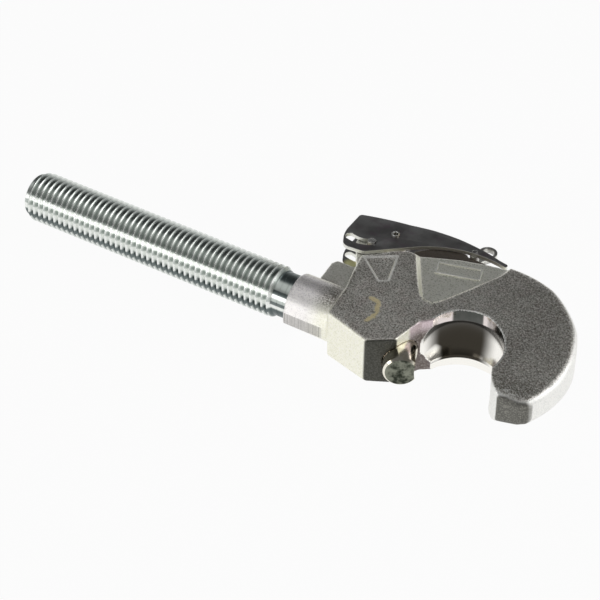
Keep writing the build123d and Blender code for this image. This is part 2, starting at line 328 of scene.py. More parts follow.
def near_line(paint, flat, points):
    """Distance in plan from a line through points."""
    points = [Vector((*point, 0)) for point in points]
    nearest = None
    for start, end in zip(points, points[1:]):
        run = end - start
        offset = paint.vector_maths("SUBTRACT", flat, start)
        share = (paint.dot(offset, run) / run.length_squared).larger(0).smaller(1)
        reach = paint.vector_maths("SCALE", run, Scale=share.socket)
        distance = paint.distance(offset, reach)
        nearest = distance if nearest is None else nearest.smaller(distance)
    return nearest


def between(value, low, high, blur):
    """1 between two limits and 0 outside, with soft ends."""
    return value.rising(low - blur, low + blur) * value.falling(high - blur, high + blur)


def outline_mask(paint, flat, corners, width):
    """1 beside the sides of a shape in plan."""
    return near_line(paint, flat, [*corners, corners[0]]).falling(0.6 * width, width)


def stain_mask(paint, place):
    """Hooked dry stain on the block's upper face."""
    distance = near_line(paint, paint.in_plan(place), STAIN_POINTS)
    wobble = paint.noise(place, 3.4, 4, 0.7)
    return (distance + 6.5 * (wobble - 0.5)).falling(1, 2.4)


def sheared_mask(paint, place):
    """Faces left by the trimming tool: the block's front and the end of the arm."""
    facing = paint.facing()
    block = (0 - paint.dot(facing, along)).rising(0.3, 0.6)
    front = paint.dot(place, along) - BLOCK_FRONT_PLACE
    block = block * front.falling(0.6, 2)
    block = block * paint.dot(place, side).falling(-36, -33)
    block = block * paint.dot(place, EAST).rising(-62, -58)
    tip = (paint.dot(place, TIP_END) - TIP_END_PLACE).rising(-4.4, -3.2)
    tip = tip * paint.dot(facing, TIP_END).rising(0.5, 0.82)
    return block.larger(tip)


def forged_material(look):
    """Blasted and plated forging: mottled grey with a dried stain, with rims and upright faces made
    pale by painted highlights and reflections, and painted shade and dark reflections in places.
    """
    paint = new_paint("forged_steel")
    place = paint.place()
    flat = paint.in_plan(place)
    east = paint.dot(place, EAST)
    north = paint.dot(place, NORTH)
    height = paint.dot(place, UP)
    level = abs(paint.dot(paint.facing(), UP))
    grain = look.grain / MM
    fine = paint.noise(place, grain, 3, 0.65)
    coarse = paint.noise(place, 4.5 * grain)
    clouds = paint.noise(place, 24, 3, 0.55)
    hue = paint.noise(place, 9)
    pits = fine.falling(0.38, 0.5)
    # Bright tops of the grit: partly the grit itself, partly painted glints
    grit_glints = fine.rising(0.5, 0.62)

    # Plating, arm, pocket, and painted shade from the lever over the brown web
    paint.start(clouds.rising(0.35, 0.65), look.shade, look.light)
    paint.lay(0.4 * hue.rising(0.45, 0.72), look.tint)
    paint.lay(0.45 * east.rising(-60, 45), look.arm)
    pocket = between(height, 18.9, 20.9, 0.3) * level.rising(0.9, 0.97)
    pocket = pocket * north.rising(22, 30) * east.falling(-6, 0)
    paint.lay(0.95 * pocket, look.pocket)
    # Painted shade under the lever, over the web's brown
    web = abs(height).falling(7.4, 8.4) * north.rising(62, 68)
    web = web * between(east, -97, -26, 3)
    paint.lay(0.9 * web, look.web)

    # Painted reflections and highlights: upright faces lighter, the neck's near half pinkish white,
    # and the rims of pocket and seat pale
    walls = level.falling(0.68, 0.97) * (1 - web)
    paint.lay(walls, paint.mix(east.rising(-30, 40), look.wall_highlight, look.far_wall_highlight))
    # Painted reflection: the neck's near half is laid pinkish white
    neck = east.falling(-117, -97)
    paint.lay(0.8 * neck * north.falling(4, 10), look.neck)
    rim = near_line(paint, flat, RIM_POINTS)
    rim_side = height.rising(21.5, 23.5)
    # Painted highlights along the pocket's rim on the arm's side and around the seat's top rim
    paint.lay(0.9 * rim_side * rim.falling(1.2, 2.6), look.wall_highlight)
    paint.lay(paint.reach(flat).falling(29.2, 29.8), look.far_wall_highlight)

    # Tooth, ear, painted shade in the nook by the neck, the arm's top darker towards its end, and
    # painted highlights along the arm's rounded end
    tooth = paint.dot(place, side).rising(-37, -34) * east.falling(-24, -20)
    tooth = tooth * walls * north.falling(8, 14)
    paint.lay(0.95 * tooth, paint.mix(height.rising(9, 20), look.tooth, look.tooth_top))
    ear = east.falling(-100, -97) * north.rising(20, 24)
    paint.lay(0.6 * ear, look.pocket)
    # Painted shade in the concave nook where the neck meets the block
    nook_shade = between(east, -106, -92, 5) * between(north, -12, 20, 5)
    paint.lay(0.5 * nook_shade * height.rising(4, 12), look.pit_and_shade)
    end = paint.dot(place, TIP_END) - TIP_END_PLACE
    paint.lay(0.45 * end.rising(-21, -11) * level.rising(0.85, 0.95), look.pit_and_shade)
    # Painted highlights, speckled, along the arm's rounded end
    end_highlights = between(end, -9, -4.6, 1) * coarse.rising(0.46, 0.56)
    paint.lay(0.75 * end_highlights, look.far_wall_highlight)

    # Grain with painted glints on its bright tops, weaker on the calm stretches, and painted
    # highlights on the borders of recess and plate
    calm = (0.8 * walls).larger(0.7 * neck).larger(0.6 * web).larger(0.5 * pocket)
    paint.lay(0.75 * pits * (1 - calm), look.pit_and_shade)
    paint.lay(0.75 * grit_glints * (1 - web.larger(0.7 * tooth)), look.grit_glint)
    # Painted highlights along the recess's slanted walls and the plate's raised border
    slants = outline_mask(paint, flat, RECESS_CORNERS, 1.3) * height.rising(22, 23)
    border = outline_mask(paint, flat, PLATE_CORNERS, 1.6) * between(height, 19.7, 21, 0.1)
    paint.lay(0.7 * slants.larger(border), look.far_wall_highlight)

    # Trimmed seam, sheared faces painted near black as a painted dark reflection with glinting
    # grit, and stain
    flash = between(height, SEAM_LOW / MM, SEAM_HIGH / MM, 0.3) * east.falling(-101, -98)
    flash = flash * (0 - north).rising(20, 20.25)
    ribs = paint.rings(east, 0.9).rising(0.4, 0.58)
    paint.lay(flash * (0.78 - 0.3 * ribs), look.flash)
    grit = 0.12 * grit_glints + 0.12 * coarse + east.rising(0, 20) * (0.25 + 0.25 * grit_glints)
    sheared = sheared_mask(paint, place)
    paint.lay(0.95 * sheared, paint.mix(grit, look.sheared, look.shear_grit_glint))
    stain = stain_mask(paint, place) * level.rising(0.9, 0.97) * height.rising(5, 10)
    paint.lay(0.85 * stain, look.stain)

    roughness = 0.32 + 0.14 * clouds + 0.12 * pits + 0.12 * stain + 0.1 * sheared + 0.25 * slants
    relief = 0.7 * fine + 0.5 * coarse + 0.5 * sheared * coarse
    relief = relief - 4.0 * rim_side * rim.falling(0, 2.6)
    return paint.metal(roughness, relief, 1, 0.45)


def seat_material(look):
    """Polished ball seat with painted reflections: dark in the middle, bright to both sides, with
    bright and dark stretches on a straight ring.
    """
    paint = new_paint("bored_seat")
    place = paint.place()
    height = paint.dot(place, UP)
    # Radians about the seat's axis, from the north eastwards
    turn = paint.maths("ARCTAN2", paint.dot(place, EAST), paint.dot(place, NORTH))
    marks = paint.rings(height, 0.5)
    clouds = paint.noise(place, 7)
    # Painted reflections: the bowl dark in the middle, bright to both sides and low on the west
    bowl_reflection = turn.rising(-0.05, 0.4).larger(turn.falling(-1.45, -0.95))
    bowl_reflection = bowl_reflection * (1 - 0.45 * height.rising(0, 9))
    low_west_reflection = abs(height + 12).falling(3, 9) - turn.rising(-1.1, -0.9)
    paint.start(bowl_reflection.larger(low_west_reflection).larger(0), look.seat_shade, look.seat)
    # Painted reflections in bright and dark stretches on the straight ring
    ring_reflection = turn.falling(-0.78, -0.7).larger(between(turn, 0.03, 0.46, 0.03))
    ring_reflection = 0.85 * ring_reflection + 0.1 * clouds
    ring_reflection = ring_reflection * (1 - 0.45 * between(turn, 0.16, 0.46, 0.05))
    ring = paint.mix(ring_reflection, look.ring_shade, look.ring)
    ring = paint.mix((height + 15).falling(-1, 1), ring, look.seat)
    straight = (abs(height + 1) - 16.9).rising(-0.2, 0.2)
    paint.lay(straight, ring)
    return paint.metal(0.13 + 0.06 * clouds, marks, 0.2, 0.02)


def machined_material(name, light, shade, roughness, axis, mark=0.4, cloud=8):
    """Steel bored or turned about an axis, with fine tool marks and cloudy staining."""
    paint = new_paint(name)
    place = paint.place()
    marks = paint.rings(paint.dot(place, axis), mark)
    clouds = paint.noise(place, cloud, 3, 0.6)
    smear = paint.noise(place, 2.6)
    paint.start(clouds.rising(0.38, 0.66), light, shade)
    level = roughness + 0.12 * (clouds - 0.5) + 0.08 * (smear - 0.5)
    return paint.metal(level, marks, 0.3, 0.03)


def thread_material(look):
    """Bright zinc on the crests, grey green roots darkened as painted shade, painted highlight
    bands, and painted dark reflections below and behind them.
    """
    paint = new_paint("plated_thread")
    place = paint.place()
    # Radians about the shank, from the front upwards
    turn = paint.maths("ARCTAN2", paint.dot(place, UP), 0 - paint.dot(place, NORTH))
    fine = paint.noise(place, 2.2, 2, 0.6)
    crest = paint.reach(paint.vector_maths("MULTIPLY", place, (0, 1, 1))).rising(17.3, 18.8)
    flanks = abs(paint.dot(paint.facing(), EAST)).rising(0.15, 0.5)
    # Painted highlight bands, where the roots take the bright zinc
    highlight_bands = between(turn, 0.4, 0.62, 0.04).larger(between(turn, -0.07, 0.2, 0.04))
    root = paint.mix(highlight_bands, look.root_tone_and_shade, look.light)
    paint.start(crest * (1 - 0.4 * flanks), root, look.light)
    # Painted dark reflections: a band high on the shank, a darker band in the roots, and the low
    # side below the highlight bands
    paint.lay(0.4 * between(turn, 1.25, 1.95, 0.12), look.dark)
    paint.lay(0.8 * between(turn, 0.22, 0.32, 0.03), look.root_tone_and_shade)
    under = between(turn, -0.34, -0.12, 0.04).larger(
        between(turn, -1.1, -0.12, 0.06) * (1 - crest))
    paint.lay(0.93 * under, look.dark)
    # Painted dark reflections in long bands along the undercut beside the forging
    streaks = between(turn, 0.58, 0.78, 0.03).larger(between(turn, 0.09, 0.25, 0.03))
    streaks = streaks.larger(turn.falling(-0.18, -0.1)).larger(turn.rising(1.15, 1.35))
    undercut = paint.dot(place, EAST).rising(-144, -143.4)
    paint.lay(0.9 * undercut * streaks, look.dark)
    level = 0.24 + 0.08 * (1 - crest) + 0.06 * (fine - 0.5)
    return paint.metal(level, fine, 0.1, 0.02)


def plated_material(name, light, tint, roughness):
    """Zinc plating with yellow and pink clouds and a fine grain."""
    paint = new_paint(name)
    place = paint.place()
    clouds = paint.noise(place, 6, 3, 0.6)
    haze = paint.noise(place, 15)
    fine = paint.noise(place, 0.8, 2, 0.6)
    paint.start(clouds.rising(0.45, 0.7), light, tint)
    level = roughness + 0.14 * haze + 0.08 * (fine - 0.5)
    return paint.metal(level, fine, 0.3, 0.05)


def blackened_material(look):
    """Near-black sheet with a soft gloss, and a painted highlight that makes its cut edges pale."""
    paint = new_paint("blackened_sheet")
    place = paint.place()
    edge = abs(paint.dot(paint.facing(), UP)).falling(0.6, 0.95)
    clouds = paint.noise(place, 16, 3, 0.55)
    fine = paint.noise(place, 0.8, 2, 0.6)
    hue = paint.noise(place, 11)
    paint.start(clouds.rising(0.3, 0.7), look.shade, look.light)
    paint.lay(0.6 * hue.rising(0.5, 0.75), look.tint)
    paint.lay(paint.distance(place, GLOW_CENTRE).falling(3, 7), look.glow)
    # Painted highlight along the sheet's cut edges
    paint.lay(edge * (0.75 + 0.25 * fine), look.edge)
    level = 0.3 + 0.14 * clouds + 0.08 * fine
    return paint.metal(level, fine, 0.25, 0.06)


def deselect():
    if bpy.context.object and bpy.context.object.mode != "OBJECT":
        bpy.ops.object.mode_set(mode="OBJECT")
    bpy.ops.object.select_all(action="DESELECT")


def select_only(piece):
    deselect()
    piece.select_set(True)
    bpy.context.view_layer.objects.active = piece


def added(name):
    """The object that the last operator made, renamed."""
    piece = bpy.context.object
    piece.name = name
    piece.data.name = name
    return piece


def settle(piece):
    """Puts a piece's place into its mesh."""
    select_only(piece)
    bpy.ops.object.transform_apply(location=True, rotation=True, scale=True)
    return piece


def made(name, operator, **settings):
    """Piece that an operator adds, with its place in its mesh."""
    deselect()
    operator(**settings)
    return settle(added(name))


def modify(piece, kind, **settings):
    """Adds a modifier and applies it at once."""
    select_only(piece)
    bpy.ops.object.modifier_add(type=kind)
    modifier = piece.modifiers[-1]
    assign(modifier, settings)
    bpy.ops.object.modifier_apply(modifier=modifier.name)
    return piece


def carve(piece, cutter, operation="DIFFERENCE"):
    """Cuts a piece with another closed one, or joins or crosses the two."""
    modify(piece, "BOOLEAN", operation=operation, object=cutter, solver="MANIFOLD")
    bpy.data.objects.remove(cutter)
    if not piece.data.polygons:
        raise RuntimeError(f"nothing is left of {piece.name}")


def edit_all(piece):
    """Opens a piece in edit mode with all of it selected."""
    select_only(piece)
    bpy.ops.object.mode_set(mode="EDIT")
    bpy.ops.mesh.select_all(action="SELECT")


def leave_edit():
    bpy.ops.object.mode_set(mode="OBJECT")


def turn_outwards():
    """Turns all faces of the piece in edit mode outwards, and leaves that mode."""
    bpy.ops.mesh.select_all(action="SELECT")
    bpy.ops.mesh.normals_make_consistent(inside=False)
    leave_edit()


def close_up(piece):
    """Merges doubles, closes holes and turns all faces outwards."""
    edit_all(piece)
    bpy.ops.mesh.remove_doubles(threshold=0.001 * MM)
    bpy.ops.mesh.fill_holes(sides=0)
    turn_outwards()
    return piece


def merged_copy(node, name):
    """Copy of a CAD node's mesh with its loose triangles joined."""
    select_only(frame["nodes"][node])
    bpy.ops.object.duplicate()
    piece = added(name)
    piece.parent = None
    for key in [key for key in piece.keys() if key.startswith("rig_")]:
        del piece[key]
    piece.data.materials.clear()
    edit_all(piece)
    bpy.ops.mesh.remove_doubles(threshold=0.002 * MM)
    bpy.ops.mesh.customdata_custom_splitnormals_clear()
    leave_edit()
    return piece


def join_faces(piece):
    """Makes whole faces of the triangles that lie in one plane."""
    edit_all(piece)
    bpy.ops.mesh.dissolve_limited(angle_limit=math.radians(1.0))
    leave_edit()


def soften(piece, width):
    """Rounds a piece's sharp edges."""
    modify(piece, "BEVEL", width=width, segments=3, limit_method="ANGLE",
           angle_limit=math.radians(40), use_clamp_overlap=True)
    return smooth(piece)


def rod(name, start, end, radius, sides=128):
    """Closed cylinder between two points."""
    run = end - start
    return made(name, bpy.ops.mesh.primitive_cylinder_add, vertices=sides, radius=radius,
                depth=run.length, location=(start + end) / 2,
                rotation=UP.rotation_difference(run).to_euler())


def box(name, centre, sizes, turn=0.0):
    """Closed box about its centre, turned in plan."""
    return made(name, bpy.ops.mesh.primitive_cube_add, size=1.0, location=centre,
                rotation=(0, 0, turn), scale=sizes)


def mesh_object(name, points, edges=(), faces=()):
    """Object made of bare points, with the edges or faces between them."""
    mesh = bpy.data.meshes.new(name)
    mesh.from_pydata(points, edges, faces)
    piece = bpy.data.objects.new(name, mesh)
    bpy.context.scene.collection.objects.link(piece)
    return piece


def wire_object(name, points):
    """Open line through points, to be spun or screwed."""
    return mesh_object(name, points, [(i, i + 1) for i in range(len(points) - 1)])


def prism(name, corners, low, high, rounding=0.0, growth=1.0):
    """Closed upright block over a shape in plan, with rounded corners and a larger top."""
    face = tuple(range(len(corners)))
    piece = mesh_object(name, [(*(MM * Vector(corner)), low) for corner in corners], faces=[face])
    middle = sum((vertex.co for vertex in piece.data.vertices), Vector()) / len(corners)
    edit_all(piece)
    if rounding:
        bpy.ops.mesh.bevel(offset=rounding, segments=5, affect="VERTICES")
        bpy.ops.mesh.select_all(action="SELECT")
    bpy.ops.mesh.extrude_region_move(TRANSFORM_OT_translate={"value": (0, 0, high - low)})
    if growth != 1:
        bpy.ops.transform.resize(value=(growth, growth, 1), center_override=middle)
    turn_outwards()
    return piece


def smooth(piece, angle=32):
    select_only(piece)
    bpy.ops.object.shade_smooth_by_angle(angle=math.radians(angle))
    return piece


def give(piece, *materials):
    """Gives a piece these materials alone, in place of the empty ones that cutting leaves."""
    piece.data.materials.clear()
    for material in materials:
        piece.data.materials.append(material)


def hand_over(piece, body, slot, *nodes):
    """Lets a finished piece ride on its body in place of its CAD nodes."""
    triangles = sum(len(face.vertices) - 2 for face in piece.data.polygons)
    if triangles > MAX_TRIANGLES:
        raise RuntimeError(f"{piece.name} has {triangles} triangles")
    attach(piece, body)
    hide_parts(*nodes)


def length(name, description, default):
    return bpy.props.FloatProperty(
        name=name, description=description, default=default, min=0.0, unit="LENGTH", precision=5)


def angle(name, description, degrees):
    return bpy.props.FloatProperty(
        name=name, description=description, default=math.radians(degrees), subtype="ANGLE")


def tone(name, description, default):
    return bpy.props.FloatVectorProperty(
        name=name, description=description, default=default, min=0.0, max=1.0,
        size=3, subtype="COLOR")


class ForgingSettings(bpy.types.PropertyGroup):
    """Sizes and colours of the forged hook."""
    voxel: length("Voxel", "Coarseness of the forging's remeshed skin", 0.9 * MM)
    grain: length("Grain", "Size of the grit left by blasting", 1.05 * MM)
    waviness: length("Waviness", "Depth of the hollows in the forged skin", 0.10 * MM)
    finish_cut: length("Finish cut", "Depth of the machined surfaces under the CAD's", 0.30 * MM)
    plate_height: length("Plate height", "How far the bare plate stands up", 1.0 * MM)
    plate_round: length("Plate round", "Softening of the bare plate's edges", 0.5 * MM)
    plate_border: length("Plate border", "Width of the raised border of the bare plate", 1.3 * MM)
    plate_field: length("Plate field", "Depth of the bare field inside that border", 0.5 * MM)
    recess_depth: length("Recess depth", "Depth of the bare recess in the cheek", 1.6 * MM)
    recess_floor: bpy.props.FloatProperty(
        name="Recess floor", description="Floor's width as a share of the opening", default=0.8)
    recess_round: length("Recess round", "Rounding of the bare recess's corners", 2.4 * MM)
    shade: tone("Shade", "Darker clouds of the plating", (0.52, 0.5, 0.46))
    light: tone("Light", "Lighter clouds of the plating", (0.68, 0.67, 0.62))
    tint: tone("Tint", "Pink clouds of the plating", (0.66, 0.57, 0.54))
    arm: tone("Arm", "Darker plating of the arm", (0.3, 0.29, 0.26))
    pocket: tone("Pocket", "Pale greenish floor of the pocket", (0.97, 0.98, 0.88))
    # Web: brown of the web under the lever, darkened as painted shade from the lever
    web: tone("Web", "Brown web under the lever", (0.17, 0.14, 0.12))
    # Wall and far wall are painted highlights and reflections on upright faces, rims, edges and
    # borders
    wall_highlight: tone("Wall", "Yellowish upright faces and rims", (0.97, 0.96, 0.82))
    far_wall_highlight: tone("Far wall", "White upright faces of the arm", (0.94, 0.94, 0.91))
    tooth: tone("Tooth", "Dark foot of the tooth between bolt and seat", (0.12, 0.09, 0.085))
    tooth_top: tone("Tooth top", "Pink upper part of that tooth", (0.66, 0.54, 0.58))
    # Neck: painted reflection on the near half of the neck
    neck: tone("Neck", "Pinkish white plating of the neck", (0.97, 0.94, 0.96))
    # Pit: bottoms of the grit's pits, also laid as painted shade in the nook by the neck, and to
    # darken the arm's top towards its end
    pit_and_shade: tone("Pit", "Bottoms of the pits", (0.16, 0.15, 0.12))
    # Speck and shear speck: bright grit tops, partly painted glints
    grit_glint: tone("Speck", "Bright tops of the grit", (0.96, 0.94, 0.9))
    flash: tone("Flash", "Trimmed seam along the neck", (0.34, 0.33, 0.31))
    stain: tone("Stain", "Dried stain on the block", (0.95, 0.84, 0.52))
    # Sheared: near black on the sheared faces, a painted dark reflection
    sheared: tone("Sheared", "Faces left by the trimming tool", (0.020, 0.021, 0.018))
    shear_grit_glint: tone("Shear speck", "Bright grit on those faces", (0.34, 0.33, 0.29))
    # Seat, seat shade, ring and ring shade are painted reflections on the polished seat and its
    # ring
    seat: tone("Seat", "Bright stretches of the ball seat", (0.97, 0.95, 0.9))
    seat_shade: tone("Seat shade", "Dark middle of the ball seat", (0.042, 0.037, 0.029))
    ring: tone("Ring", "Bright stretches of the seat's ring", (0.84, 0.76, 0.74))
    ring_shade: tone("Ring shade", "Dark stretches of the seat's ring", (0.045, 0.052, 0.046))


class ThreadSettings(bpy.types.PropertyGroup):
    """Sizes and colours of the threaded shank."""
    pitch: length("Pitch", "Distance between two crests", 4.65 * MM)
    crest: length("Crest radius", "Radius over the crests", 18.97 * MM)
    root: length("Root radius", "Radius at the bottom of the thread", 16.1 * MM)
    light: tone("Light", "Bright zinc plating", (0.88, 0.9, 0.87))
    # Root tone: grey green of the roots, darkened as painted shade; it also paints a darker band
    root_tone_and_shade: tone("Root tone", "Grey green in the roots", (0.5, 0.54, 0.51))
    # Dark: painted dark reflections beside the highlight bands
    dark: tone("Dark", "Dark streaks beside the light", (0.1, 0.125, 0.125))


class BoltSettings(bpy.types.PropertyGroup):
    """Sizes and colours of the locking bolt and its spring."""
    light: tone("Light", "Ground steel of the bolt", (0.9, 0.87, 0.77))
    shade: tone("Shade", "Darker clouds on the bolt", (0.72, 0.67, 0.54))
    # End and end shade: smudges on the end face, darkened as a painted dark reflection
    end: tone("End", "Smudged end face of the bolt", (0.24, 0.25, 0.2))
    end_shade: tone("End shade", "Darker smudges on the end face", (0.03, 0.035, 0.025))
    wire: length("Wire", "Thickness of the spring's wire", 2.2 * MM)
    spring: tone("Spring", "Plated spring wire", (0.62, 0.62, 0.6))


class LeverSettings(bpy.types.PropertyGroup):
    """Sizes and colours of the lever, its pins and the pull eye."""
    edge_round: length("Edge round", "Softening of the plates' edges", 0.45 * MM)
    corner_round: length("Corner round", "Rounding of the plates' rear corner", 6.0 * MM)
    pin_round: length("Pin round", "Softening of the pins' ends", 0.3 * MM)
    slot_play: length("Slot play", "Play of the slot pin beyond the CAD's", 0.1 * MM)
    eye_round: length("Eye round", "Rounding of the pull eye", 1.1 * MM)
    shade: tone("Shade", "Darker clouds of the sheet", (0.185, 0.18, 0.18))
    light: tone("Light", "Lighter clouds of the sheet", (0.29, 0.29, 0.29))
    tint: tone("Tint", "Faint violet clouds of the sheet", (0.2, 0.155, 0.185))
    glow: tone("Glow", "Yellow plating left on the far plate's corner", (1.0, 0.97, 0.55))
    # Edge: painted highlight on the sheet's cut edges
    edge: tone("Edge", "Rubbed edges of the sheet", (0.92, 0.92, 0.86))
    pin: tone("Pin", "Plated spring pins", (0.78, 0.78, 0.76))
    pin_tint: tone("Pin tint", "Yellow clouds on the pins", (0.76, 0.66, 0.5))
    eye: tone("Eye", "Plating of the pull eye", (0.4, 0.39, 0.37))


class StageSettings(bpy.types.PropertyGroup):
    """The camera's place, the floor and the light."""
    azimuth: angle("Azimuth", "Camera's turn about the vertical", 31.41)
    elevation: angle("Elevation", "Camera's height above the horizon", 39.77)
    roll: angle("Roll", "Camera's turn about its own axis", 0.63)
    view: angle("Field of view", "Angle that the picture's side takes in", 16.16)
    across: length("Across", "Camera's place to the left of the seat", 109.65 * MM)
    above: length("Above", "Camera's place above the seat, square to its aim", 44.25 * MM)
    away: length("Away", "Camera's distance from the seat along its aim", 1438.3 * MM)
    floor: tone("Floor", "Floor under the part", (0.85, 0.85, 0.85))
    low_sky: tone("Low sky", "Studio walls near the floor", (0.72, 0.72, 0.72))
    high_sky: tone("High sky", "Studio above the lamps", (0.12, 0.12, 0.12))


class QUICKHOOK_OT_forging(bpy.types.Operator):
    """Forged hook with its bored seat, bare plate and bare recess"""
    bl_idname = "quickhook.forging"
    bl_label = "Forging"

    def execute(self, context):
        settings = context.scene.quickhook_forging
        piece = merged_copy("hook_body", "forging")
        self.add_web(piece)
        self.add_neck(piece)
        modify(piece, "REMESH", mode="VOXEL", voxel_size=settings.voxel, adaptivity=0.0)
        modify(piece, "SMOOTH", factor=0.5, iterations=5)
        self.add_plate(piece, settings)
        self.cut_recess(piece, settings)
        self.cut_field(piece, settings)
        self.roughen(piece, settings)
        self.machine(piece, settings)
        self.colour_faces(piece, settings)
        smooth(piece, 40)
        hand_over(piece, "hook", "forging", "hook_body")
        return {"FINISHED"}

    def add_web(self, piece):
        """Rear of the thin web under the lever, out to the edge that the photograph shows."""
        carve(piece, prism("web_rear", WEB_REAR, -WEB_HALF, WEB_HALF), "UNION")

    def add_neck(self, piece):
        """Neck's full width at the thread, with the seam that trimming left along it."""
        middle = (NECK_START + NECK_END) / 2
        run = NECK_END - NECK_START
        neck = made("neck", bpy.ops.mesh.primitive_cone_add, vertices=128,
                    radius1=NECK_RADII[0], radius2=NECK_RADII[1], depth=run,
                    location=(middle, 0, 0), rotation=(0, math.pi / 2, 0))
        carve(piece, neck, "UNION")
        seam = box("seam", (middle, -SEAM_REACH / 2, (SEAM_LOW + SEAM_HIGH) / 2),
                   (run, SEAM_REACH, SEAM_HIGH - SEAM_LOW))
        carve(piece, seam, "UNION")

    def add_plate(self, piece, settings):
        """Bare raised plate on the pocket's floor."""
        plate = box("plate", (*PLATE_CENTRE, POCKET_FLOOR),
                    (PLATE_LENGTH, PLATE_WIDTH, 2 * settings.plate_height), PLATE_TURN)
        modify(plate, "BEVEL", width=settings.plate_round, segments=2)
        carve(piece, plate, "UNION")

    def cut_recess(self, piece, settings):
        """Shallow bare recess with rounded corners and slanted walls in the cheek's face."""
        corners = [Vector(corner) for corner in RECESS_CORNERS]
        middle = sum(corners, Vector((0, 0))) / len(corners)
        floor = [middle + (corner - middle) * settings.recess_floor for corner in corners]
        depth = settings.recess_depth
        carve(piece, prism("recess", floor, CROWN_LEVEL - depth, CROWN_LEVEL + depth,
                           settings.recess_round, 2 / settings.recess_floor - 1))

    def cut_field(self, piece, settings):
        """Bare field inside the raised border of the plate."""
        borders = 2 * settings.plate_border
        field = box("field", (*PLATE_CENTRE, POCKET_FLOOR + settings.plate_height),
                    (PLATE_LENGTH - borders, PLATE_WIDTH - borders, 2 * settings.plate_field),
                    PLATE_TURN)
        carve(piece, field)

    def roughen(self, piece, settings):
        """Slow hollows of a forged skin, all of them inwards."""
        texture = bpy.data.textures.new("forged_hollows", "CLOUDS")
        texture.noise_scale = HOLLOW_SIZE
        texture.noise_depth = 2
        modify(piece, "DISPLACE", texture=texture, texture_coords="LOCAL",
               strength=settings.waviness, mid_level=1.0)

    def radii(self, settings):
        """Finished radii of the ball seat, its straight rings and the bolt's hole."""
        cut = settings.finish_cut
        return SEAT_RADIUS + cut, RING_RADIUS + cut, BORE_RADIUS + cut / 2

    def machine(self, piece, settings):
        """Bores the ball seat, its straight rings, the way out and the bolt's hole."""
        seat, ring, bore = self.radii(settings)
        cutter = made("seat_cutter", bpy.ops.mesh.primitive_uv_sphere_add,
                      segments=SEAT_SIDES, ring_count=96, radius=seat)
        half = 2 * CROWN_LEVEL * UP
        carve(cutter, rod("ring_cutter", -half, half, ring, 192), "UNION")
        exit_end = 3 * SEAT_RADIUS * way_out
        carve(cutter, rod("exit_cutter", Vector(), exit_end, seat, SEAT_SIDES), "UNION")
        carve(piece, cutter)
        carve(piece, rod("bore_cutter", on_bolt(-2 * BORE_RADIUS), on_bolt(BORE_DEPTH), bore))
        carve(piece, rod("stem_cutter", on_bolt(BORE_DEPTH - BORE_RADIUS),
                         on_bolt(STEM_HOLE_END), STEM_HOLE_RADIUS))

    def colour_faces(self, piece, settings):
        """Forged skin, bored seat and bored hole each get their own finish."""
        give(piece, forged_material(settings),
             seat_material(settings),
             machined_material("bored_hole", settings.ring, settings.tooth, 0.25, along))
        seat, ring, bore = self.radii(settings)
        slack = 0.1 * MM
        for face in piece.data.polygons:
            centre = face.center
            out = centre.dot(way_out)
            up = (centre - foot).dot(along)
            seat_miss = abs(centre.length - seat)
            ring_miss = abs(centre.xy.length - ring)
            exit_miss = abs((centre - way_out * out).length - seat) if out > 0 else seat
            bore_miss = abs((centre - on_bolt(up)).length - bore)
            if min(seat_miss, ring_miss, exit_miss) < slack:
                face.material_index = 1
            elif bore_miss < slack and up < BORE_DEPTH:
                face.material_index = 2


class QUICKHOOK_OT_thread(bpy.types.Operator):
    """Threaded shank with its helical thread cut from the CAD's blank"""
    bl_idname = "quickhook.thread"
    bl_label = "Thread"

    def execute(self, context):
        settings = context.scene.quickhook_thread
        start, end = shank_low.x, shank_high.x
        thread = self.helix(settings, start - settings.pitch, end + 2 * settings.pitch)
        for place, keep_left in ((start - settings.pitch / 3, False),
                                 (end + settings.pitch / 3, True)):
            edit_all(thread)
            bpy.ops.mesh.bisect(plane_co=(place, 0, 0), plane_no=EAST,
                                clear_inner=not keep_left, clear_outer=keep_left)
            leave_edit()
        close_up(thread)
        piece = self.blank(start, end)
        carve(piece, thread, "INTERSECT")
        give(piece, thread_material(settings))
        smooth(piece, 28)
        hand_over(piece, "hook", "thread", "threaded_shank")
        return {"FINISHED"}

    def blank(self, start, end):
        """Rod with a short plain end and the undercut beside the forging."""
        major = shank_high.z
        pilot = major - PILOT_DEPTH
        root = major - UNDERCUT_DEPTH
        step = end - UNDERCUT_LENGTH
        line = [(start, 0), (start, pilot - PILOT_CHAMFER), (start + PILOT_CHAMFER, pilot),
                (start + PILOT_LENGTH, pilot), (start + PILOT_LENGTH + PILOT_DEPTH, major),
                (step - UNDERCUT_DEPTH, major), (step, root), (end, root), (end, 0)]
        piece = wire_object("threaded_rod", [(x, 0, radius) for x, radius in line])
        edit_all(piece)
        bpy.ops.mesh.spin(steps=192, angle=2 * math.pi, center=(0, 0, 0), axis=EAST)
        leave_edit()
        return close_up(piece)

    def helix(self, settings, start, end):
        """Thread form carried along the shank by the screw modifier."""
        form = [(0.0, settings.crest), (CREST_HALF, settings.crest),
                (0.5 - ROOT_HALF, settings.root), (0.5 + ROOT_HALF, settings.root),
                (1.0 - CREST_HALF, settings.crest), (1.0, settings.crest)]
        piece = wire_object("thread", [(start + settings.pitch * share, 0, radius)
                                       for share, radius in form])
        turns = math.ceil((end - start) / settings.pitch)
        return modify(piece, "SCREW", axis="X", screw_offset=settings.pitch, steps=72,
                      render_steps=72, iterations=turns, use_merge_vertices=True,
                      merge_threshold=0.002 * MM)


